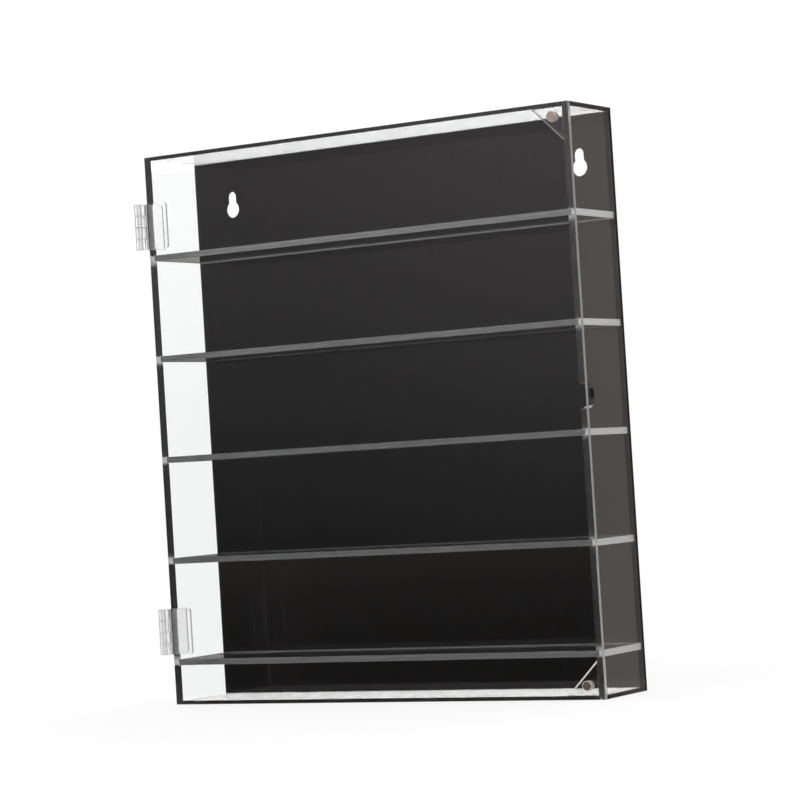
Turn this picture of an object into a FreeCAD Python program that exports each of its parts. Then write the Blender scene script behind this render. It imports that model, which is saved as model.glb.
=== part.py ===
import FreeCAD, Part
import Sketcher
import math
import os

# A clear acrylic display cabinet for a wall or a table: a black back sheet with two keyholes, four clear
# case sheets, five shelves housed in grooves, and a full-front door on two moulded hinges, held shut by
# two pairs of disc magnets. Millimetres, Z up, the front faces -Y, and the origin is the middle of the
# underside of the case.

# Driving sizes. Counts have no unit, every other value is a length.
SIZES = {
    # Case
    "case_width": 351.0,
    "case_height": 400.3,
    "side_depth": 57.5,
    "side_thickness": 5.0,
    "plate_thickness": 2.7,
    "back_thickness": 3.0,
    "bond_line": 0.05,
    # Shelves and the grooves that house their ends
    "shelf_count": 5,
    "shelf_thickness": 4.3,
    "lowest_shelf_height": 28.5,
    "top_headroom": 69.2,
    "shelf_setback": 0.5,
    "shelf_rear_gap": 0.3,
    "groove_depth": 2.2,
    "groove_clearance": 0.1,
    "edge_bevel": 0.25,
    # Keyholes in the back sheet
    "keyhole_drop": 38.6,
    "keyhole_left_inset": 34.6,
    "keyhole_right_inset": 28.4,
    "keyhole_entry_radius": 6.25,
    "keyhole_slot_radius": 4.1,
    "keyhole_travel": 9.3,
    # Finger notch in the front edge of the latch-side sheet
    "notch_rise": 2.45,
    "notch_radius": 8.4,
    "notch_run": 1.6,
    # Door
    "door_thickness": 3.0,
    "door_gap": 0.5,
    "door_margin": 0.2,
    "door_hinge_clearance": 0.7,
    # Magnetic catches
    "gusset_leg": 23.3,
    "gusset_thickness": 5.0,
    "magnet_side_inset": 7.4,
    "magnet_end_inset": 6.7,
    "magnet_radius": 3.5,
    "magnet_thickness": 3.0,
    "magnet_fit": 0.05,
    "magnet_bevel": 0.5,
    # Hinges
    "hinge_length": 33.0,
    "upper_hinge_drop": 51.0,
    "lower_hinge_height": 53.3,
    "hinge_axis_offset": 3.9,
    "barrel_radius": 3.4,
    "leaf_thickness": 1.8,
    "leaf_reach": 18.6,
    "leaf_corner_radius": 2.0,
    "leaf_clearance": 0.3,
    "knuckle_count": 4,
    "knuckle_gap": 0.3,
    "pin_radius": 1.2,
    "pin_bevel": 0.2,
    "pin_press_fit": 0.01,
    "pin_running_fit": 0.06,
}

doc = FreeCAD.newDocument("display_cabinet")
sheet = doc.addObject("Spreadsheet::Sheet", "sizes")
for row, (alias, number) in enumerate(SIZES.items(), start=1):
    sheet.set(f"A{row}", alias)
    sheet.set(f"B{row}", str(number))
    sheet.setAlias(f"B{row}", alias)
doc.recompute()


class Size:
    """A value of the sheet, or a sum of such values, with the formula that it comes from."""

    def __init__(self, value, text):
        self.value = value
        self.text = text

    def _join(self, sign, other, value):
        return Size(value, f"({self.text} {sign} {text_of(other)})")

    def __add__(self, other):
        return self._join("+", other, self.value + value_of(other))

    def __sub__(self, other):
        return self._join("-", other, self.value - value_of(other))

    def __mul__(self, other):
        return self._join("*", other, self.value * value_of(other))

    def __truediv__(self, other):
        return self._join("/", other, self.value / value_of(other))

    def __neg__(self):
        return Size(-self.value, f"(-{self.text})")

    __rmul__ = __mul__


def value_of(number):
    return number.value if isinstance(number, Size) else number


def text_of(number):
    return number.text if isinstance(number, Size) else str(number)


class Sizes:
    """Every alias of the sheet as an attribute."""

    def __init__(self):
        for name in SIZES:
            setattr(self, name, Size(float(getattr(sheet, name)), f"sizes.{name}"))


dim = Sizes()
pieces = []

# Places that several pieces share
case_left = -(dim.case_width / 2)
case_right = dim.case_width / 2
case_front = -((dim.side_depth + dim.back_thickness) / 2)
back_front = case_front + dim.side_depth
door_front = case_front - dim.door_gap - dim.door_thickness
door_left = case_left + dim.door_hinge_clearance
inner_width = dim.case_width - 2 * dim.side_thickness
inner_right = case_right - dim.side_thickness
inner_top = dim.case_height - dim.plate_thickness
top_shelf_height = inner_top - dim.top_headroom - dim.shelf_thickness
shelf_pitch = (top_shelf_height - dim.lowest_shelf_height) / (dim.shelf_count - 1)
notch_height = dim.case_height / 2 + dim.notch_rise
hinge_x = case_left - dim.hinge_axis_offset
hinge_y = door_front - dim.hinge_axis_offset
leaf_back = dim.hinge_axis_offset - dim.bond_line
knuckle_pitch = (dim.hinge_length + dim.knuckle_gap) / dim.knuckle_count
knuckle_length = knuckle_pitch - dim.knuckle_gap
upper_hinge_bottom = dim.case_height - dim.upper_hinge_drop - dim.hinge_length / 2
lower_hinge_bottom = dim.lower_hinge_height - dim.hinge_length / 2


# Building helpers

def bind(thing, path, amount):
    """Tie one property of a feature to the sheet."""
    thing.setExpression(path, text_of(amount))


def place(thing, x, y, z, rotation=None):
    """Set a piece's rotation and tie its place to the sheet."""
    thing.Placement = FreeCAD.Placement(FreeCAD.Vector(), rotation or FreeCAD.Rotation())
    for path, amount in (("x", x), ("y", y), ("z", z)):
        bind(thing, f"Placement.Base.{path}", amount)


def new_body(label):
    body = doc.addObject("PartDesign::Body", label)
    body.Label = label
    pieces.append(body)
    return body


def origin_part(body, role):
    return next(part for part in body.Origin.OriginFeatures if part.Role == role)


def new_sketch(body, name, plane, offset=None):
    """A sketch on one of the body's own planes, moved along its normal by an offset."""
    sketch = body.newObject("Sketcher::SketchObject", f"{body.Name}_{name}")
    sketch.AttachmentSupport = (origin_part(body, plane), [""])
    sketch.MapMode = "FlatFace"
    if offset is not None:
        bind(sketch, "AttachmentOffset.Base.z", offset)
    return sketch


def constrain(sketch, *arguments):
    """Add a constraint. Where its last argument is a Size, the constraint follows the sheet."""
    amount = arguments[-1]
    if isinstance(amount, Size):
        index = sketch.addConstraint(Sketcher.Constraint(*arguments[:-1], amount.value))
        bind(sketch, f"Constraints[{index}]", amount)
    else:
        sketch.addConstraint(Sketcher.Constraint(*arguments))


def at(x, y):
    return FreeCAD.Vector(value_of(x), value_of(y), 0)


def line(sketch, start, end):
    return sketch.addGeometry(Part.LineSegment(start, end), False)


def arc(sketch, centre, radius, start_angle, end_angle):
    circle = Part.Circle(centre, FreeCAD.Vector(0, 0, 1), radius.value)
    return sketch.addGeometry(Part.ArcOfCircle(circle, start_angle, end_angle), False)


def locate(sketch, geometry, point, x, y):
    """Hold a point at x, y from the sketch's origin, where 0 puts it on the axis."""
    for kind, axis, amount in (("DistanceX", -2, x), ("DistanceY", -1, y)):
        if isinstance(amount, Size):
            constrain(sketch, kind, -1, 1, geometry, point, amount)
        else:
            constrain(sketch, "PointOnObject", geometry, point, axis)


def rectangle(sketch, width, height, left=0, bottom=0):
    x0, y0 = value_of(left), value_of(bottom)
    x1, y1 = x0 + width.value, y0 + height.value
    corners = [at(x0, y0), at(x1, y0), at(x1, y1), at(x0, y1)]
    sides = [line(sketch, corners[k], corners[(k + 1) % 4]) for k in range(4)]
    for k in range(4):
        constrain(sketch, "Coincident", sides[k], 2, sides[(k + 1) % 4], 1)
        constrain(sketch, ("Horizontal", "Vertical")[k % 2], sides[k])
    constrain(sketch, "DistanceX", sides[0], 1, sides[0], 2, width)
    constrain(sketch, "DistanceY", sides[1], 1, sides[1], 2, height)
    locate(sketch, sides[0], 1, left, bottom)


def circle(sketch, radius, x=0, y=0):
    shape = Part.Circle(at(x, y), FreeCAD.Vector(0, 0, 1), radius.value)
    index = sketch.addGeometry(shape, False)
    constrain(sketch, "Radius", index, radius)
    locate(sketch, index, 3, x, y)


def pad(body, sketch, length, reverse=False):
    feature = body.newObject("PartDesign::Pad", f"{sketch.Name}_pad")
    feature.Profile = sketch
    feature.Reversed = reverse
    bind(feature, "Length", length)
    doc.recompute()
    return feature


def pocket(body, sketch, depth=None, reverse=False):
    """Cut a sketch into the body, right through where no depth is given."""
    before = body.Shape.Volume
    feature = body.newObject("PartDesign::Pocket", f"{sketch.Name}_pocket")
    feature.Profile = sketch
    feature.Reversed = reverse
    if depth is None:
        feature.Type = "ThroughAll"
    else:
        bind(feature, "Length", depth)
    doc.recompute()
    if body.Shape.Volume >= before:
        raise RuntimeError(f"{feature.Name} cuts nothing")
    return feature


def repeat_up(body, feature, spacing, count):
    """Repeat a feature upwards at a spacing."""
    pattern = body.newObject("PartDesign::LinearPattern", f"{feature.Name}_row")
    pattern.Originals = [feature]
    pattern.Direction = (origin_part(body, "Z_Axis"), [""])
    pattern.Mode = "Spacing"
    bind(pattern, "Offset", spacing)
    bind(pattern, "Occurrences", count)
    body.Tip = pattern
    doc.recompute()
    return pattern


def bevel(body, feature, size, wanted):
    """Chamfer the edges of a feature that the test picks by their middle point and direction."""
    names = []
    for number, edge in enumerate(feature.Shape.Edges, start=1):
        if wanted(edge):
            names.append(f"Edge{number}")
    chamfer = body.newObject("PartDesign::Chamfer", f"{feature.Name}_bevel")
    chamfer.Base = (feature, names)
    bind(chamfer, "Size", size)
    doc.recompute()
    return chamfer


def edge_span(edge, axis):
    """The length of an edge's box along one axis."""
    return getattr(edge.BoundBox, f"{axis}Length")


# Case sheets

def keyhole(sketch, x, y):
    """A round entry with a narrower slot above it."""
    entry, slot, travel = dim.keyhole_entry_radius, dim.keyhole_slot_radius, dim.keyhole_travel
    turn = math.acos(slot.value / entry.value)
    shoulder = y.value + entry.value * math.sin(turn)
    slot_top = y + travel
    round_part = arc(sketch, at(x, y), entry, math.pi - turn, 2 * math.pi + turn)
    right = line(sketch, at(x + slot, shoulder), at(x + slot, slot_top))
    end = arc(sketch, at(x, slot_top), slot, 0, math.pi)
    left = line(sketch, at(x - slot, slot_top), at(x - slot, shoulder))
    constrain(sketch, "Coincident", round_part, 2, right, 1)
    constrain(sketch, "Tangent", right, 2, end, 1)
    constrain(sketch, "Tangent", end, 2, left, 1)
    constrain(sketch, "Coincident", left, 2, round_part, 1)
    for upright in (right, left):
        constrain(sketch, "Vertical", upright)
    constrain(sketch, "Radius", round_part, entry)
    constrain(sketch, "Radius", end, slot)
    constrain(sketch, "Vertical", round_part, 3, end, 3)
    constrain(sketch, "DistanceY", round_part, 3, end, 3, travel)
    locate(sketch, round_part, 3, x, y)


def make_back_panel():
    body = new_body("back_panel")
    outline = new_sketch(body, "outline", "XZ_Plane")
    rectangle(outline, dim.case_width, dim.case_height)
    pad(body, outline, dim.back_thickness)
    for name, x in (
        ("left_keyhole", dim.keyhole_left_inset),
        ("right_keyhole", dim.case_width - dim.keyhole_right_inset),
    ):
        sketch = new_sketch(body, name, "XZ_Plane")
        keyhole(sketch, x, dim.case_height - dim.keyhole_drop)
        pocket(body, sketch, reverse=True)
    place(body, case_left, back_front + dim.back_thickness, 0)


def make_plate(label, z):
    """The top or the bottom sheet, which fits between the sides and in front of the back."""
    plate = doc.addObject("Part::Box", label)
    plate.Label = label
    bind(plate, "Length", inner_width - 2 * dim.bond_line)
    bind(plate, "Width", dim.side_depth - dim.bond_line)
    bind(plate, "Height", dim.plate_thickness)
    place(plate, -(inner_width / 2) + dim.bond_line, case_front, z)
    pieces.append(plate)


def finger_notch(sketch):
    """A half-moon bite in the front edge: a short straight run that ends in a semicircle."""
    low = notch_height - dim.notch_radius
    high = notch_height + dim.notch_radius
    run, radius = dim.notch_run, dim.notch_radius
    mouth = line(sketch, at(0, high), at(0, low))
    floor = line(sketch, at(0, low), at(run, low))
    bite = arc(sketch, at(run, notch_height), radius, -math.pi / 2, math.pi / 2)
    roof = line(sketch, at(run, high), at(0, high))
    constrain(sketch, "Coincident", mouth, 2, floor, 1)
    constrain(sketch, "Tangent", floor, 2, bite, 1)
    constrain(sketch, "Tangent", bite, 2, roof, 1)
    constrain(sketch, "Coincident", roof, 2, mouth, 1)
    for flat in (floor, roof):
        constrain(sketch, "Horizontal", flat)
    constrain(sketch, "Vertical", mouth)
    constrain(sketch, "Radius", bite, radius)
    constrain(sketch, "DistanceX", floor, 1, floor, 2, run)
    locate(sketch, floor, 1, 0, low)


def make_side_panel(label, x, groove_left, has_notch):
    body = new_body(label)
    outline = new_sketch(body, "outline", "YZ_Plane")
    rectangle(outline, dim.side_depth - dim.bond_line, dim.case_height)
    pad(body, outline, dim.side_thickness)
    if has_notch:
        sketch = new_sketch(body, "notch", "YZ_Plane")
        finger_notch(sketch)
        pocket(body, sketch, reverse=True)
    groove = new_sketch(body, "groove", "XZ_Plane")
    groove_bottom = dim.lowest_shelf_height - dim.groove_clearance
    groove_height = dim.shelf_thickness + 2 * dim.groove_clearance
    rectangle(groove, dim.groove_depth, groove_height, groove_left, groove_bottom)
    cut = pocket(body, groove)
    repeat_up(body, cut, shelf_pitch, dim.shelf_count)
    place(body, x, case_front, 0)


# Shelves

def make_shelf(number):
    """Shelves count from the top, and their ends sit in the grooves of the two side sheets."""
    body = new_body(f"shelf_{number}")
    groove_reach = dim.groove_depth - dim.groove_clearance
    outline = new_sketch(body, "outline", "XY_Plane")
    depth = dim.side_depth - dim.shelf_setback - dim.shelf_rear_gap
    rectangle(outline, inner_width + 2 * groove_reach, depth)
    slab = pad(body, outline, dim.shelf_thickness)
    long_edges = 2 * dim.shelf_thickness.value

    def on_front(edge):
        return abs(edge.CenterOfMass.y) < dim.edge_bevel.value and edge_span(edge, "X") > long_edges

    bevel(body, slab, dim.edge_bevel, on_front)
    steps = dim.shelf_count - number
    height = dim.lowest_shelf_height + shelf_pitch * steps
    place(body, -(inner_width / 2) - groove_reach, case_front + dim.shelf_setback, height)


# Door and magnetic catches

def make_door():
    body = new_body("door")
    door_height = dim.case_height - 2 * dim.door_margin
    outline = new_sketch(body, "outline", "XZ_Plane")
    rectangle(outline, dim.case_width, door_height)
    pad(body, outline, dim.door_thickness, reverse=True)
    hole_radius = dim.magnet_radius + dim.magnet_fit
    hole_x = magnet_x - door_left
    for name, z in (("lower_magnet_hole", lower_magnet_z), ("upper_magnet_hole", upper_magnet_z)):
        sketch = new_sketch(body, name, "XZ_Plane")
        circle(sketch, hole_radius, hole_x, z - dim.door_margin)
        pocket(body, sketch)
    place(body, door_left, door_front, dim.door_margin)


def make_gusset(label, corner_z, turn, hole_x, hole_y):
    """A triangular corner block with a blind hole for its magnet, open to the front."""
    body = new_body(label)
    leg = dim.gusset_leg
    outline = new_sketch(body, "outline", "XZ_Plane")
    corners = [at(0, 0), at(leg, 0), at(0, leg)]
    sides = [line(outline, corners[k], corners[(k + 1) % 3]) for k in range(3)]
    for k in range(3):
        constrain(outline, "Coincident", sides[k], 2, sides[(k + 1) % 3], 1)
    constrain(outline, "Horizontal", sides[0])
    constrain(outline, "Vertical", sides[2])
    constrain(outline, "DistanceX", sides[0], 1, sides[0], 2, leg)
    constrain(outline, "DistanceY", sides[2], 2, sides[2], 1, leg)
    locate(outline, sides[0], 1, 0, 0)
    pad(body, outline, dim.gusset_thickness, reverse=True)
    hole = new_sketch(body, "magnet_hole", "XZ_Plane")
    circle(hole, dim.magnet_radius + dim.magnet_fit, hole_x - dim.bond_line, hole_y - dim.bond_line)
    pocket(body, hole, dim.magnet_thickness + dim.bond_line)
    turned = FreeCAD.Rotation(FreeCAD.Vector(0, 1, 0), turn)
    place(body, inner_right - dim.bond_line, case_front, corner_z, turned)


def make_magnet(label, y, z):
    """A nickel-plated disc magnet with its rim eased."""
    body = new_body(label)
    outline = new_sketch(body, "outline", "XZ_Plane")
    circle(outline, dim.magnet_radius)
    disc = pad(body, outline, dim.magnet_thickness, reverse=True)

    def on_rim(edge):
        return edge_span(edge, "Y") < dim.magnet_bevel.value

    bevel(body, disc, dim.magnet_bevel, on_rim)
    place(body, magnet_x, y, z)


# Hinges

def leaf_plate(sketch):
    """The flat of a leaf: square at the barrel side, with its two free corners rounded."""
    radius = dim.leaf_corner_radius
    start = dim.hinge_axis_offset + dim.leaf_clearance
    end = dim.hinge_axis_offset + dim.leaf_reach
    height = dim.hinge_length
    low = line(sketch, at(start, 0), at(end - radius, 0))
    low_corner = arc(sketch, at(end - radius, radius), radius, -math.pi / 2, 0)
    side = line(sketch, at(end, radius), at(end, height - radius))
    high_corner = arc(sketch, at(end - radius, height - radius), radius, 0, math.pi / 2)
    high = line(sketch, at(end - radius, height), at(start, height))
    root = line(sketch, at(start, height), at(start, 0))
    constrain(sketch, "Tangent", low, 2, low_corner, 1)
    constrain(sketch, "Tangent", low_corner, 2, side, 1)
    constrain(sketch, "Tangent", side, 2, high_corner, 1)
    constrain(sketch, "Tangent", high_corner, 2, high, 1)
    constrain(sketch, "Coincident", high, 2, root, 1)
    constrain(sketch, "Coincident", root, 2, low, 1)
    for flat in (low, high):
        constrain(sketch, "Horizontal", flat)
    for upright in (side, root):
        constrain(sketch, "Vertical", upright)
    constrain(sketch, "Radius", low_corner, radius)
    constrain(sketch, "Equal", low_corner, high_corner)
    constrain(sketch, "DistanceY", root, 2, root, 1, height)
    constrain(sketch, "DistanceX", -1, 1, side, 1, end)
    locate(sketch, low, 1, start, 0)


def knuckle_outline(sketch):
    """The barrel's round with a neck that leaves it on a tangent and runs into the leaf's flat."""
    radius = dim.barrel_radius
    back = leaf_back
    front = back - dim.leaf_thickness
    root = dim.hinge_axis_offset + dim.leaf_clearance
    corner_angle = math.atan2(back.value, root.value)
    corner_distance = math.hypot(back.value, root.value)
    tangent_angle = corner_angle + math.acos(radius.value / corner_distance)
    tangent_point = at(radius.value * math.cos(tangent_angle), radius.value * math.sin(tangent_angle))
    front_angle = math.asin(front.value / radius.value)
    front_point = at(radius.value * math.cos(front_angle), front)
    barrel = arc(sketch, at(0, 0), radius, tangent_angle, 2 * math.pi + front_angle)
    neck_front = line(sketch, front_point, at(root, front))
    neck_end = line(sketch, at(root, front), at(root, back))
    neck_back = line(sketch, at(root, back), tangent_point)
    constrain(sketch, "Coincident", barrel, 2, neck_front, 1)
    constrain(sketch, "Coincident", neck_front, 2, neck_end, 1)
    constrain(sketch, "Coincident", neck_end, 2, neck_back, 1)
    constrain(sketch, "Tangent", neck_back, 2, barrel, 1)
    constrain(sketch, "Horizontal", neck_front)
    constrain(sketch, "Vertical", neck_end)
    constrain(sketch, "Radius", barrel, radius)
    constrain(sketch, "DistanceY", neck_end, 1, neck_end, 2, dim.leaf_thickness)
    locate(sketch, neck_end, 2, root, back)
    constrain(sketch, "Coincident", barrel, 3, -1, 1)


def make_hinge_leaf(label, pin_fit, z, on_case):
    """One leaf: the two leaves of a hinge are the same moulding, turned over about the corner's diagonal."""
    body = new_body(label)
    plate = new_sketch(body, "plate", "XZ_Plane", -leaf_back)
    leaf_plate(plate)
    pad(body, plate, dim.leaf_thickness)
    profile = new_sketch(body, "knuckle", "XY_Plane", knuckle_pitch)
    knuckle_outline(profile)
    knuckle = pad(body, profile, knuckle_length)
    repeat_up(body, knuckle, 2 * knuckle_pitch, dim.knuckle_count / 2)
    bore = new_sketch(body, "bore", "XY_Plane")
    circle(bore, dim.pin_radius + pin_fit)
    pocket(body, bore, reverse=True)
    if on_case:
        over = FreeCAD.Rotation(FreeCAD.Vector(1, 1, 0), 180)
        place(body, hinge_x, hinge_y, z + dim.hinge_length, over)
    else:
        place(body, hinge_x, hinge_y, z)


def make_hinge_pin(label, z):
    body = new_body(label)
    outline = new_sketch(body, "outline", "XY_Plane")
    circle(outline, dim.pin_radius)
    rod = pad(body, outline, dim.hinge_length)

    def on_end(edge):
        return edge_span(edge, "Z") < dim.pin_bevel.value

    bevel(body, rod, dim.pin_bevel, on_end)
    place(body, hinge_x, hinge_y, z)


# The assembly

magnet_x = inner_right - dim.magnet_side_inset
lower_magnet_z = dim.plate_thickness + dim.magnet_end_inset
upper_magnet_z = inner_top - dim.magnet_end_inset

make_back_panel()
make_plate("top_panel", inner_top)
make_plate("bottom_panel", 0)
left_groove = dim.side_thickness - dim.groove_depth
make_side_panel("left_side_panel", case_left, left_groove, has_notch=False)
make_side_panel("right_side_panel", inner_right, 0, has_notch=True)
for shelf_number in range(1, int(dim.shelf_count.value) + 1):
    make_shelf(shelf_number)
make_door()
side_inset, end_inset = dim.magnet_side_inset, dim.magnet_end_inset
make_gusset("lower_corner_gusset", dim.plate_thickness + dim.bond_line, -90, end_inset, side_inset)
make_gusset("upper_corner_gusset", inner_top - dim.bond_line, 180, side_inset, end_inset)
for level, magnet_z in (("lower", lower_magnet_z), ("upper", upper_magnet_z)):
    make_magnet(f"{level}_door_magnet", door_front, magnet_z)
    make_magnet(f"{level}_gusset_magnet", case_front, magnet_z)
for level, hinge_z in (("lower", lower_hinge_bottom), ("upper", upper_hinge_bottom)):
    make_hinge_leaf(f"{level}_hinge_case_leaf", dim.pin_press_fit, hinge_z, on_case=True)
    make_hinge_leaf(f"{level}_hinge_door_leaf", dim.pin_running_fit, hinge_z, on_case=False)
    make_hinge_pin(f"{level}_hinge_pin", hinge_z)
doc.recompute()

# Every feature has to be sound before anything is written
for thing in doc.Objects:
    if "Invalid" in thing.State or "Error" in thing.State:
        raise RuntimeError(f"{thing.Name} failed: {thing.State}")
for piece in pieces:
    if piece.Shape.isNull() or not piece.Shape.isValid():
        raise RuntimeError(f"{piece.Label} has no sound shape")
    if len(piece.Shape.Solids) != 1:
        raise RuntimeError(f"{piece.Label} has {len(piece.Shape.Solids)} solids")

os.makedirs("parts", exist_ok=True)
for piece in pieces:
    piece.Shape.exportStep(f"parts/{piece.Label}.step")
    print(f"{piece.Label}: {piece.Shape.Volume:.1f} mm3")
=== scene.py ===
import math

import bpy
from mathutils import Matrix, Vector


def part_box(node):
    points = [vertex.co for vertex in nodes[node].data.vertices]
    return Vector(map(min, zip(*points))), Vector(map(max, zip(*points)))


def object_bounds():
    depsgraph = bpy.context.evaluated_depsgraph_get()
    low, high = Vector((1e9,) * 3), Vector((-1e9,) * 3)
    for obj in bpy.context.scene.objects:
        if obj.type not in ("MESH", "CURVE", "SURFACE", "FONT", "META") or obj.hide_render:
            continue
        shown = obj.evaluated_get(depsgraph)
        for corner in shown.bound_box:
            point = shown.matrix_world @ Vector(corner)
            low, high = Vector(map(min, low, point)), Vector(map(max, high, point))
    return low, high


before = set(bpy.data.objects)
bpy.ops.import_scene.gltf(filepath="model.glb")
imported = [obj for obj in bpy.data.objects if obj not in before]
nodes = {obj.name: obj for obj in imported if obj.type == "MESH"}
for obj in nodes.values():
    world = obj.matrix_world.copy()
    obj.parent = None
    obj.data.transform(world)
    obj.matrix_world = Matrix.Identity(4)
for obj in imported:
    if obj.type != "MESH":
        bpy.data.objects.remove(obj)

cad_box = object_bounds()
scene = bpy.context.scene
scene.view_settings.view_transform = "Standard"

# Light runs far inside a clear sheet before it leaves by an edge

LIGHT_BOUNCES = 96
OPEN_BOUNCES = 64
scene.cycles.max_bounces = LIGHT_BOUNCES
scene.cycles.transmission_bounces = LIGHT_BOUNCES
scene.cycles.glossy_bounces = LIGHT_BOUNCES
scene.cycles.transparent_max_bounces = OPEN_BOUNCES


# Camera: the photograph's viewing angle, in degrees, metres and millimetres of lens

CAMERA_AZIMUTH = 31.341
CAMERA_PITCH = 1.374
CAMERA_ROLL = -3.541
CAMERA_PLACE = (1.0476, -1.7026, 0.1623)
CAMERA_LENS = 127.0
SENSOR_WIDTH = 36.0


def make_camera():
    azimuth, pitch, roll = (math.radians(v) for v in (CAMERA_AZIMUTH, CAMERA_PITCH, CAMERA_ROLL))
    forward = Vector((
        -math.sin(azimuth) * math.cos(pitch),
        math.cos(azimuth) * math.cos(pitch),
        math.sin(pitch),
    ))
    level_right = Vector((math.cos(azimuth), math.sin(azimuth), 0))
    level_up = level_right.cross(forward)
    right = level_right * math.cos(roll) + level_up * math.sin(roll)
    up = level_up * math.cos(roll) - level_right * math.sin(roll)
    turn = Matrix((right, up, -forward)).transposed()
    data = bpy.data.cameras.new("camera")
    data.sensor_width = SENSOR_WIDTH
    data.lens = CAMERA_LENS
    camera = bpy.data.objects.new("camera", data)
    camera.matrix_world = Matrix.Translation(CAMERA_PLACE) @ turn.to_4x4()
    scene.collection.objects.link(camera)
    scene.camera = camera


# Node helpers

class Tree:
    """Short calls for building a node tree."""

    def __init__(self, tree):
        self.tree = tree
        tree.nodes.clear()

    def node(self, kind, **settings):
        made = self.tree.nodes.new(kind)
        for name, value in settings.items():
            setattr(made, name, value)
        return made

    def put(self, value, socket):
        """A socket is linked, and a number or colour is set on the socket itself."""
        if isinstance(value, bpy.types.NodeSocket):
            self.tree.links.new(value, socket)
        else:
            socket.default_value = value

    def math(self, operation, *values):
        made = self.node("ShaderNodeMath", operation=operation)
        for index, value in enumerate(values):
            self.put(value, made.inputs[index])
        return made.outputs[0]

    def ramp(self, value, low, high, start=0.0, end=1.0):
        """A value that goes smoothly from start to end while the input goes from low to high."""
        made = self.node("ShaderNodeMapRange", interpolation_type="SMOOTHSTEP")
        for index, amount in enumerate((value, low, high, start, end)):
            self.put(amount, made.inputs[index])
        return made.outputs[0]

    def blend(self, share, first, second):
        """first where share is 0, second where it is 1."""
        gap = self.math("SUBTRACT", second, first)
        return self.math("MULTIPLY_ADD", gap, share, first)

    def noise(self, vector, scale, detail=2.0, roughness=0.5, stretch=None):
        if stretch is not None:
            mapped = self.node("ShaderNodeMapping")
            self.put(vector, mapped.inputs["Vector"])
            mapped.inputs["Scale"].default_value = stretch
            vector = mapped.outputs[0]
        made = self.node("ShaderNodeTexNoise")
        self.put(vector, made.inputs["Vector"])
        made.inputs["Scale"].default_value = scale
        made.inputs["Detail"].default_value = detail
        made.inputs["Roughness"].default_value = roughness
        return made.outputs["Fac"]

    def axes(self, vector):
        split = self.node("ShaderNodeSeparateXYZ")
        self.put(vector, split.inputs[0])
        return tuple(split.outputs)

    def colour(self, share, first, second):
        """The first colour where share is 0, the second where it is 1."""
        made = self.node("ShaderNodeMix", data_type="RGBA")
        for name, value in (("Factor", share), ("A", first), ("B", second)):
            self.put(value, made.inputs[name])
        return next(socket for socket in made.outputs if socket.type == "RGBA")

    # Masks are 1 inside and 0 outside, and shares lie between

    def below(self, value, limit):
        return self.math("LESS_THAN", value, limit)

    def over(self, value, limit):
        return self.math("GREATER_THAN", value, limit)

    def near(self, value, low, high):
        return self.math("COMPARE", value, (low + high) / 2, (high - low) / 2)

    def outside(self, mask):
        return self.math("SUBTRACT", 1.0, mask)

    def both(self, *masks):
        joined = masks[0]
        for mask in masks[1:]:
            joined = self.math("MULTIPLY", joined, mask)
        return joined

    def either(self, *masks):
        joined = masks[0]
        for mask in masks[1:]:
            joined = self.math("MAXIMUM", joined, mask)
        return joined


class Surface(Tree):
    """A material's node tree, with the piece's own coordinates and normals at hand."""

    def __init__(self, name):
        self.material = bpy.data.materials.new(name)
        self.material.use_nodes = True
        super().__init__(self.material.node_tree)
        self.shader = self.node("ShaderNodeBsdfPrincipled")
        output = self.node("ShaderNodeOutputMaterial")
        self.put(self.shader.outputs[0], output.inputs["Surface"])
        coordinates = self.node("ShaderNodeTexCoord")
        self.place = coordinates.outputs["Object"]
        self.x, self.y, self.z = self.axes(self.place)
        self.side_x = self.math("ABSOLUTE", self.x)
        facing = self.node("ShaderNodeVectorMath", operation="ABSOLUTE")
        self.put(coordinates.outputs["Normal"], facing.inputs[0])
        self.facing_x, self.facing_y, self.facing_z = self.axes(facing.outputs[0])

    def set(self, **values):
        for name, value in values.items():
            self.put(value, self.shader.inputs[name.replace("_", " ")])

    def bump(self, height, strength, distance):
        made = self.node("ShaderNodeBump")
        made.inputs["Strength"].default_value = strength
        made.inputs["Distance"].default_value = distance
        self.put(height, made.inputs["Height"])
        self.put(made.outputs[0], self.shader.inputs["Normal"])


# World and floor: heights, spreads and depths are parts of a unit direction, levels are strengths of light

WHITE = (1.0, 1.0, 1.0, 1)
HALF = 0.5
OPEN_LEVEL = 1.0

ROOM_COLOUR = (1.0, 0.94, 0.95, 1)
WALL_HEIGHTS = (-0.1, 0.16)
WALL_LEVELS = (0.04, 0.38)
CEILING_HEIGHTS = (0.2, 0.6)
CEILING_LEVELS = (0.0, 0.6)
ROOM_SPREAD = (-0.58, -0.45)
ROOM_BALANCE = (0.82, 1.18)

BACKDROP_COLOUR = (1.03, 0.95, 0.9, 1)
BACKDROP_DEPTHS = (-0.2, 0.4)
BACKDROP_SPREAD = (-0.45, 0.3)
BACKDROP_LEVELS = (0.16, 0.363)

CLEAR_VIEW = 1.14
HIGH_VIEW = 1.2
VIEW_HEIGHTS = (0.0, 0.1)
STEEP_VIEW = 3.75
STEEP_START = (0.108, 0.113)
STEEP_END = (0.127, 0.132)

FLOOR_REACH = 3.0
FLOOR_HEIGHT = -0.0004
FLOOR_LEVEL = 1.04
FLOOR_FAR_AHEAD = 0.12
FLOOR_NEAR = 0.06
FLOOR_BEHIND = 0.4
UNDER_CASE = 5.4
PAPER_COLOUR = (0.9, 0.9, 0.9, 1)
PAPER_SHARE = 0.25


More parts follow.
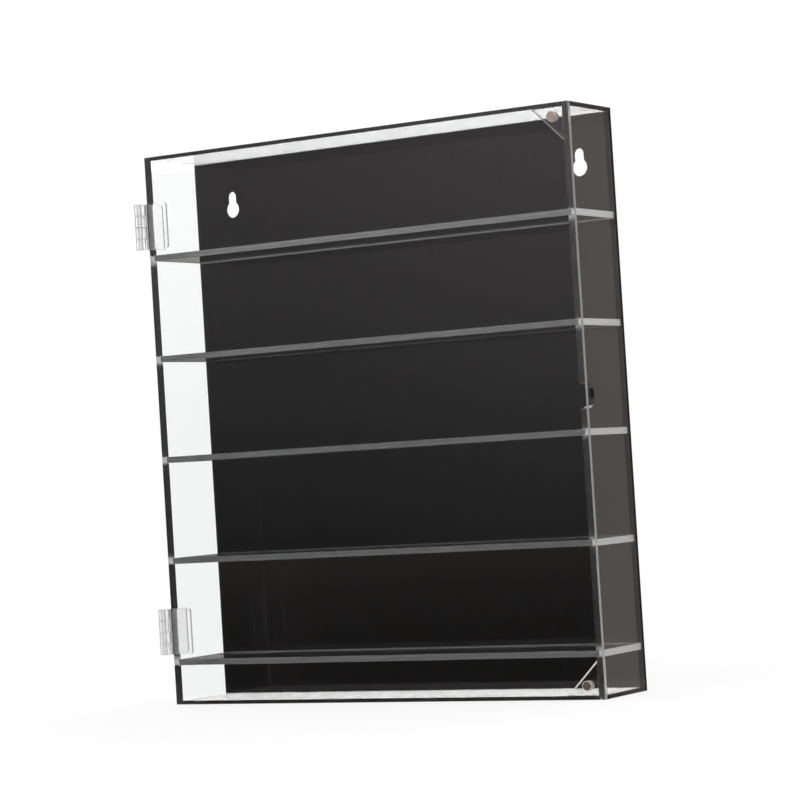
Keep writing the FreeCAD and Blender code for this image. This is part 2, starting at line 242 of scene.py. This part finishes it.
def ray_light(t, path, mirrored, through, plain_level, tint):
    """Strength and colour by the way light is seen: mirrored and tinted, through the sheets, or plain."""
    straight = t.below(path.outputs["Glossy Depth"], HALF)
    scattered = t.over(path.outputs["Diffuse Depth"], HALF)
    plain = t.either(path.outputs["Is Camera Ray"], scattered)
    strength = t.blend(plain, t.blend(straight, mirrored, through), plain_level)
    return strength, t.colour(t.either(plain, straight), tint, WHITE)


def make_world():
    """A white surround, and for reflections a dim room in front of the object and a backdrop behind it."""
    world = bpy.data.worlds.new("studio")
    scene.world = world
    world.use_nodes = True
    t = Tree(world.node_tree)
    path = t.node("ShaderNodeLightPath")
    place = t.node("ShaderNodeTexCoord")
    across, depth, up = t.axes(place.outputs["Generated"])
    walls = t.ramp(up, *WALL_HEIGHTS, *WALL_LEVELS)
    ceiling = t.ramp(up, *CEILING_HEIGHTS, *CEILING_LEVELS)
    balance = t.ramp(across, *ROOM_SPREAD, *ROOM_BALANCE)
    room = t.math("MULTIPLY", t.math("ADD", walls, ceiling), balance)
    behind = t.ramp(depth, *BACKDROP_DEPTHS)
    backdrop = t.ramp(across, *BACKDROP_SPREAD, *BACKDROP_LEVELS)
    mirrored = t.blend(behind, room, backdrop)
    steep = t.both(t.ramp(up, *STEEP_START), t.ramp(up, *STEEP_END, start=1.0, end=0.0))
    through = t.blend(steep, t.ramp(up, *VIEW_HEIGHTS, CLEAR_VIEW, HIGH_VIEW), STEEP_VIEW)
    tint = t.colour(behind, ROOM_COLOUR, BACKDROP_COLOUR)
    strength, colour = ray_light(t, path, mirrored, through, OPEN_LEVEL, tint)
    background = t.node("ShaderNodeBackground")
    t.put(colour, background.inputs["Color"])
    t.put(strength, background.inputs["Strength"])
    output = t.node("ShaderNodeOutputWorld")
    t.put(background.outputs[0], output.inputs["Surface"])


def make_floor():
    """A glowing floor, with some matt paper for the camera's own rays so that a soft shadow shows."""
    mesh = bpy.data.meshes.new("floor")
    corners = [
        (-FLOOR_REACH, -FLOOR_REACH, FLOOR_HEIGHT),
        (FLOOR_REACH, -FLOOR_REACH, FLOOR_HEIGHT),
        (FLOOR_REACH, FLOOR_REACH, FLOOR_HEIGHT),
        (-FLOOR_REACH, FLOOR_REACH, FLOOR_HEIGHT),
    ]
    mesh.from_pydata(corners, [], [(0, 1, 2, 3)])
    floor = bpy.data.objects.new("floor", mesh)
    scene.collection.objects.link(floor)
    material = bpy.data.materials.new("floor")
    material.use_nodes = True
    t = Tree(material.node_tree)
    path = t.node("ShaderNodeLightPath")
    place = t.node("ShaderNodeTexCoord")
    x, y = t.axes(place.outputs["Object"])[:2]
    low, high = cad_box
    under = t.both(t.near(x, low.x, high.x), t.near(y, low.y, high.y))
    through = t.blend(under, CLEAR_VIEW, UNDER_CASE)
    ahead = t.ramp(y, -FLOOR_REACH, low.y, FLOOR_FAR_AHEAD, FLOOR_NEAR)
    around = t.blend(t.ramp(y, low.y, high.y), ahead, FLOOR_BEHIND)
    mirrored = t.blend(under, around, OPEN_LEVEL)
    strength, colour = ray_light(t, path, mirrored, through, FLOOR_LEVEL, BACKDROP_COLOUR)
    glow = t.node("ShaderNodeEmission")
    t.put(strength, glow.inputs["Strength"])
    t.put(colour, glow.inputs["Color"])
    paper = t.node("ShaderNodeBsdfDiffuse")
    paper.inputs["Color"].default_value = PAPER_COLOUR
    mix = t.node("ShaderNodeMixShader")
    t.put(t.math("MULTIPLY", path.outputs["Is Camera Ray"], PAPER_SHARE), mix.inputs[0])
    t.put(glow.outputs[0], mix.inputs[1])
    t.put(paper.outputs[0], mix.inputs[2])
    output = t.node("ShaderNodeOutputMaterial")
    t.put(mix.outputs[0], output.inputs["Surface"])
    mesh.materials.append(material)


# Places on the part that the materials follow, in metres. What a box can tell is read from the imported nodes

SKIN = 0.00002
GROOVE_SLACK = 0.0002
MAGNET_SLACK = 0.0002
# Painted highlight along the shelf joints on the black sheet: its run above and below each shelf, and the
# heights from the middle over which it grows
JOINT_HIGHLIGHT_RUN = 0.0006
JOINT_HIGHLIGHT_FROM_MIDDLE = (0.06, 0.13)
NOTCH_LOW = 0.1941
NOTCH_LIP = 0.0017
NOTCH_DEPTH = 0.0105
LEAF_ROOT = 0.001
LEVELS = ("upper", "lower")
SHELF_COUNT = 5
left_low, left_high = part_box("left_side_panel")
top_low, top_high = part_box("top_panel")
bottom_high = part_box("bottom_panel")[1]
door_low, door_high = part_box("door")
back_low, back_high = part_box("back_panel")
shelf_low, shelf_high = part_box("shelf_5")
next_shelf_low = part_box("shelf_4")[0]
top_shelf_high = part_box("shelf_1")[1]
door_leaf_boxes = [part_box(f"{level}_hinge_door_leaf") for level in LEVELS]
door_leaf_high = door_leaf_boxes[0][1]
case_leaf_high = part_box("upper_hinge_case_leaf")[1]
magnet_boxes = [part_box(f"{level}_gusset_magnet") for level in LEVELS]
inner_side = -left_high.x
shelf_pitch = next_shelf_low.z - shelf_low.z


def at_plane(t, value, plane):
    return t.near(value, plane - SKIN, plane + SKIN)


def hinge_bands(t):
    """The heights that the two hinges cover."""
    return t.either(*[t.near(t.z, low.z, high.z) for low, high in door_leaf_boxes])


def shelf_rows(t, slack):
    """The heights that the shelves cover, with some slack above and below each."""
    above = t.math("SUBTRACT", t.z, shelf_low.z - slack)
    row_height = shelf_high.z - shelf_low.z + 2 * slack
    in_row = t.near(t.math("FLOORED_MODULO", above, shelf_pitch), 0.0, row_height)
    return t.both(in_row, t.below(t.z, top_low.z))


def drilled_wall(t):
    """The walls of the holes that the magnets sit in."""
    around = [
        t.both(
            t.near(t.x, low.x - MAGNET_SLACK, high.x + MAGNET_SLACK),
            t.near(t.z, low.z - MAGNET_SLACK, high.z + MAGNET_SLACK),
        )
        for low, high in magnet_boxes
    ]
    return t.both(t.either(*around), t.below(t.facing_y, HALF))


# Materials. Haze is the share of light that a face scatters instead of letting it through

ACRYLIC_IOR = 1.49
CLEAR = (0.985, 0.99, 0.99, 1)
MOSTLY = 0.9
MIDDLE_NOISE = (0.3, 0.7)

# Roughness, and where there are two values, the least and the most
MACHINED = 0.45
SHEET_WIPES = 0.012
PLATE_WIPES = 0.004
GUSSET_WIPES = 0.03
HINGE_SIDE_FRONT = 0.25
LATCH_SIDE_FRONT = 0.35
DOOR_EDGE = 0.08
SHELF_FRONT = 0.3
KNUCKLE_ROUGHNESS = (0.26, 0.38)
LEAF_ROUGHNESS = (0.05, 0.12)
LEAF_RIM = 0.5
PIN_ROUGHNESS = (0.05, 0.2)
BLACK_ROUGHNESS = (0.03, 0.09)
DULL = 0.5
NICKEL_ROUGHNESS = (0.12, 0.25)

# Haze, and where there are two values, at the lowest shelf and at the highest. The frost itself is real, and
# the change between the two values is painted light and shade that follows height.
GROOVE_HAZE = (0.64, 1.0)
# Painted highlight: haze on the lowest curve of the finger notch
NOTCH_HIGHLIGHT_HAZE = 0.55
DRILLED_HAZE = 0.6
HINGE_FRONT_HAZE = 0.001
LATCH_FRONT_HAZE = (0.02, 0.032)
DOOR_LATCH_HAZE = (0.25, 0.2)
SHELF_FRONT_HAZE = (0.05, 0.1)
SHELF_REAR_HAZE = (0.36, 0.66)
SHELF_END_HAZE = (0.85, 1.0)
# Painted highlight on the black sheet along the shelf joints, at the lowest shelf and at the highest
JOINT_HIGHLIGHT_COVER = (0.15, 0.25)

# Light let through
KNUCKLE_CLEARNESS = 0.89
LEAF_CLEARNESS = 0.94
RIM_CLEARNESS = 0.5
PIN_CLEARNESS = 0.9

# Colours and reflection
DOOR_LATCH_COLOUR = (0.76, 0.76, 0.76, 1)
LEAF_COLOUR = (0.88, 0.885, 0.885, 1)
PIN_COLOUR = (0.85, 0.86, 0.86, 1)
BLACK_COLOUR = (0.0035, 0.0035, 0.004, 1)
DUST_COLOUR = (0.025, 0.025, 0.025, 1)
NICKEL_COLOUR = (0.82, 0.7, 0.6, 1)
BLACK_FACE_SPECULAR = 0.5
BLACK_EDGE_SPECULAR = 0.12

# Stretch of smears and of saw lines along x, y and z: the smaller the number, the longer they are
EVEN_SMEARS = (1.0, 1.0, 1.0)
UPRIGHT_SMEARS = (1.0, 1.0, 0.25)
LEVEL_SMEARS = (0.25, 1.0, 1.0)
BLACK_SMEARS = (1.0, 1.0, 0.3)
GROOVE_LINES = (1.0, 0.12, 1.0)
FRONT_LINES = (1.0, 1.0, 0.1)
DOOR_LINES = (0.1, 1.0, 0.1)
SHELF_LINES = (0.015, 1.0, 1.1)
PIN_LINES = (1.0, 1.0, 0.05)


def wipe_marks(t, stretch, most=SHEET_WIPES):
    """Roughness that a cloth leaves on a polished face: long faint smears."""
    smears = t.noise(t.place, scale=14.0, detail=5.0, roughness=0.62, stretch=stretch)
    return t.ramp(smears, low=0.5, high=0.75, end=most)


def saw_marks(t, stretch):
    """The fine lines of a sawn or milled face, from 0.75 to 1."""
    lines = t.noise(t.place, scale=900.0, stretch=stretch)
    return t.ramp(lines, low=0.2, high=0.8, start=0.75)


def painted_light_by_height(t, shares):
    """A share that goes from its first value at the lowest shelf to its second at the highest: painted light
    and shade that changes with height.
    """
    return t.ramp(t.z, shelf_low.z, top_shelf_high.z, *shares)


def dress(surface, *names):
    for name in names:
        mesh = nodes[name].data
        mesh.materials.clear()
        mesh.materials.append(surface.material)


def side_sheet():
    """Clear sheet with milled grooves and a satin front edge, open where it is bonded to its neighbours."""
    t = Surface("side_sheet")
    t.set(Base_Color=CLEAR, IOR=ACRYLIC_IOR)
    in_groove = t.both(
        shelf_rows(t, GROOVE_SLACK),
        t.near(t.side_x, inner_side + SKIN, shelf_high.x + GROOVE_SLACK),
    )
    at_plates = t.both(
        at_plane(t, t.side_x, inner_side),
        t.either(t.below(t.z, bottom_high.z), t.over(t.z, top_low.z)),
    )
    under_leaf = t.both(
        at_plane(t, t.x, left_low.x),
        t.below(t.y, case_leaf_high.y),
        hinge_bands(t),
    )
    bonded = t.either(at_plane(t, t.y, left_high.y), at_plates, under_leaf)
    milled = t.both(in_groove, saw_marks(t, GROOVE_LINES))
    front = t.both(at_plane(t, t.y, left_low.y), saw_marks(t, FRONT_LINES))
    latch_side = t.ramp(t.x, -inner_side, inner_side)
    # The notch floor is a machined face, and its haze is a painted highlight where light catches the lowest
    # curve of the finger notch.
    notch_floor = t.both(
        t.near(t.x, inner_side + SKIN, -left_low.x - SKIN),
        t.near(t.y, left_low.y + SKIN, left_low.y + NOTCH_DEPTH),
        t.near(t.z, NOTCH_LOW, NOTCH_LOW + NOTCH_LIP),
    )
    front_roughness = t.blend(latch_side, HINGE_SIDE_FRONT, LATCH_SIDE_FRONT)
    polish = t.blend(front, wipe_marks(t, UPRIGHT_SMEARS), front_roughness)
    t.set(Roughness=t.blend(t.either(milled, notch_floor), polish, MACHINED))
    # The haze of the grooves and of the latch-side front edge changes with height: painted light and shade.
    front_haze = t.blend(latch_side, HINGE_FRONT_HAZE, painted_light_by_height(t, LATCH_FRONT_HAZE))
    haze = t.either(
        t.both(milled, painted_light_by_height(t, GROOVE_HAZE)),
        t.both(front, front_haze),
        t.both(notch_floor, NOTCH_HIGHLIGHT_HAZE),
    )
    t.set(Transmission_Weight=t.outside(haze))
    t.set(Alpha=t.outside(bonded))
    return t


def plate_sheet():
    """Clear top and bottom sheets, open where they are bonded to the back and the sides."""
    t = Surface("plate_sheet")
    t.set(Base_Color=CLEAR, IOR=ACRYLIC_IOR, Transmission_Weight=1.0)
    bonded = t.either(at_plane(t, t.y, top_high.y), at_plane(t, t.side_x, top_high.x))
    t.set(Roughness=wipe_marks(t, EVEN_SMEARS, PLATE_WIPES))
    t.set(Alpha=t.outside(bonded))
    return t


def gusset_block():
    """Clear corner blocks with a drilled hole for a magnet."""
    t = Surface("gusset_block")
    t.set(Base_Color=CLEAR, IOR=ACRYLIC_IOR)
    smears = t.noise(t.place, scale=60.0, detail=3.0, roughness=0.6)
    polish = t.ramp(smears, low=0.45, high=0.75, end=GUSSET_WIPES)
    drilled = drilled_wall(t)
    t.set(Roughness=t.blend(drilled, polish, MACHINED))
    t.set(Transmission_Weight=t.outside(t.both(drilled, DRILLED_HAZE)))
    return t


def door_sheet():
    """Clear sheet with polished edges, and a satin one at the latch side where fingers pull."""
    t = Surface("door_sheet")
    t.set(IOR=ACRYLIC_IOR)
    under_leaf = t.both(
        at_plane(t, t.y, door_low.y),
        t.below(t.x, door_leaf_high.x),
        hinge_bands(t),
    )
    edges = t.both(t.below(t.facing_y, MOSTLY), saw_marks(t, DOOR_LINES))
    latch_edge = t.both(at_plane(t, t.x, door_high.x), edges)
    polish = t.blend(edges, wipe_marks(t, UPRIGHT_SMEARS), DOOR_EDGE)
    drilled = drilled_wall(t)
    t.set(Roughness=t.blend(t.either(latch_edge, drilled), polish, MACHINED))
    # The latch edge's haze changes with height: painted light and shade.
    haze = t.either(t.both(latch_edge, painted_light_by_height(t, DOOR_LATCH_HAZE)), t.both(drilled, DRILLED_HAZE))
    t.set(Transmission_Weight=t.outside(haze))
    t.set(Base_Color=t.colour(latch_edge, CLEAR, DOOR_LATCH_COLOUR))
    t.set(Alpha=t.outside(under_leaf))
    return t


def shelf_sheet():
    """Clear sheet with a satin front edge and sawn ends and rear edge."""
    t = Surface("shelf_sheet")
    t.set(Base_Color=CLEAR, IOR=ACRYLIC_IOR)
    edges = t.both(t.below(t.facing_z, MOSTLY), saw_marks(t, SHELF_LINES))
    ends = t.over(t.facing_x, MOSTLY)
    rear = t.over(t.y, shelf_high.y - SKIN)
    hidden = t.either(ends, rear)
    edge_roughness = t.blend(hidden, SHELF_FRONT, MACHINED)
    t.set(Roughness=t.blend(edges, wipe_marks(t, LEVEL_SMEARS), edge_roughness))
    # The haze of the ends, rear and front edges changes with height: painted light and shade.
    hidden_haze = t.blend(ends, painted_light_by_height(t, SHELF_REAR_HAZE), painted_light_by_height(t, SHELF_END_HAZE))
    edge_haze = t.blend(hidden, painted_light_by_height(t, SHELF_FRONT_HAZE), hidden_haze)
    t.set(Transmission_Weight=t.outside(t.both(edges, edge_haze)))
    return t


def moulding():
    """Moulded leaves: hazier at the knuckles and rims than on the flats, open where they are bonded."""
    t = Surface("clear_moulding")
    flat = t.ramp(t.x, case_leaf_high.x, case_leaf_high.x + LEAF_ROOT)
    t.set(Base_Color=t.colour(flat, CLEAR, LEAF_COLOUR), IOR=ACRYLIC_IOR)
    on_door = at_plane(t, t.y, door_leaf_high.y)
    on_case = t.both(at_plane(t, t.x, case_leaf_high.x), t.over(t.y, left_low.y))
    flow = t.noise(t.place, scale=220.0, detail=3.0, roughness=0.55)
    rim = t.both(flat, t.below(t.facing_y, HALF))
    least, most = (t.blend(flat, *pair) for pair in zip(KNUCKLE_ROUGHNESS, LEAF_ROUGHNESS))
    t.set(Roughness=t.blend(rim, t.ramp(flow, *MIDDLE_NOISE, least, most), LEAF_RIM))
    clearness = t.blend(flat, KNUCKLE_CLEARNESS, LEAF_CLEARNESS)
    t.set(Transmission_Weight=t.blend(rim, clearness, RIM_CLEARNESS))
    t.set(Alpha=t.outside(t.either(on_door, on_case)))
    t.bump(flow, strength=0.1, distance=0.0002)
    return t


def pin_rod():
    """Clear drawn rod, with fine lines along it."""
    t = Surface("clear_pin")
    t.set(Base_Color=PIN_COLOUR, IOR=ACRYLIC_IOR, Transmission_Weight=PIN_CLEARNESS)
    drawn = t.noise(t.place, scale=500.0, stretch=PIN_LINES)
    t.set(Roughness=t.ramp(drawn, *MIDDLE_NOISE, *PIN_ROUGHNESS))
    return t


def black_sheet():
    """Gloss sheet with a thin painted highlight along the shelves' joints, most at the highest and lowest."""
    t = Surface("black_sheet")
    edges = t.below(t.facing_y, HALF)
    # Pale lines painted along the shelf joints as a highlight, paler further from the middle height.
    joint_highlight_band = t.both(
        shelf_rows(t, JOINT_HIGHLIGHT_RUN),
        at_plane(t, t.y, back_low.y),
        t.near(t.x, -inner_side, inner_side),
    )
    from_middle = t.math("SUBTRACT", t.z, back_high.z / 2)
    amount = t.ramp(t.math("ABSOLUTE", from_middle), *JOINT_HIGHLIGHT_FROM_MIDDLE)
    painted_highlight = t.both(joint_highlight_band, amount, painted_light_by_height(t, JOINT_HIGHLIGHT_COVER))
    dust = t.ramp(t.noise(t.place, scale=700.0, detail=0.0), low=0.76, high=0.8)
    sheet = t.colour(dust, BLACK_COLOUR, DUST_COLOUR)
    t.set(Base_Color=t.colour(painted_highlight, sheet, WHITE), IOR=ACRYLIC_IOR)
    t.set(Specular_IOR_Level=t.blend(edges, BLACK_FACE_SPECULAR, BLACK_EDGE_SPECULAR))
    wipes = t.noise(t.place, scale=9.0, detail=6.0, roughness=0.65, stretch=BLACK_SMEARS)
    least, most = BLACK_ROUGHNESS
    gloss = t.ramp(wipes, low=0.45, high=0.8, start=least, end=most)
    t.set(Roughness=t.blend(t.either(edges, joint_highlight_band), gloss, DULL))
    return t


def nickel():
    """Plated metal with a slight peel."""
    t = Surface("nickel")
    peel = t.noise(t.place, scale=1800.0, detail=3.0, roughness=0.6)
    t.set(Base_Color=NICKEL_COLOUR, Metallic=1.0)
    t.set(Roughness=t.ramp(peel, *MIDDLE_NOISE, *NICKEL_ROUGHNESS))
    t.bump(peel, strength=0.15, distance=0.0001)
    return t


make_camera()
make_world()
make_floor()
dress(side_sheet(), "left_side_panel", "right_side_panel")
dress(plate_sheet(), "top_panel", "bottom_panel")
dress(gusset_block(), *[f"{level}_corner_gusset" for level in LEVELS])
dress(door_sheet(), "door")
dress(shelf_sheet(), *[f"shelf_{number}" for number in range(1, SHELF_COUNT + 1)])
dress(moulding(), *[f"{level}_hinge_{leaf}_leaf" for level in LEVELS for leaf in ("door", "case")])
dress(pin_rod(), *[f"{level}_hinge_pin" for level in LEVELS])
dress(nickel(), *[f"{level}_{seat}_magnet" for level in LEVELS for seat in ("door", "gusset")])
dress(black_sheet(), "back_panel")
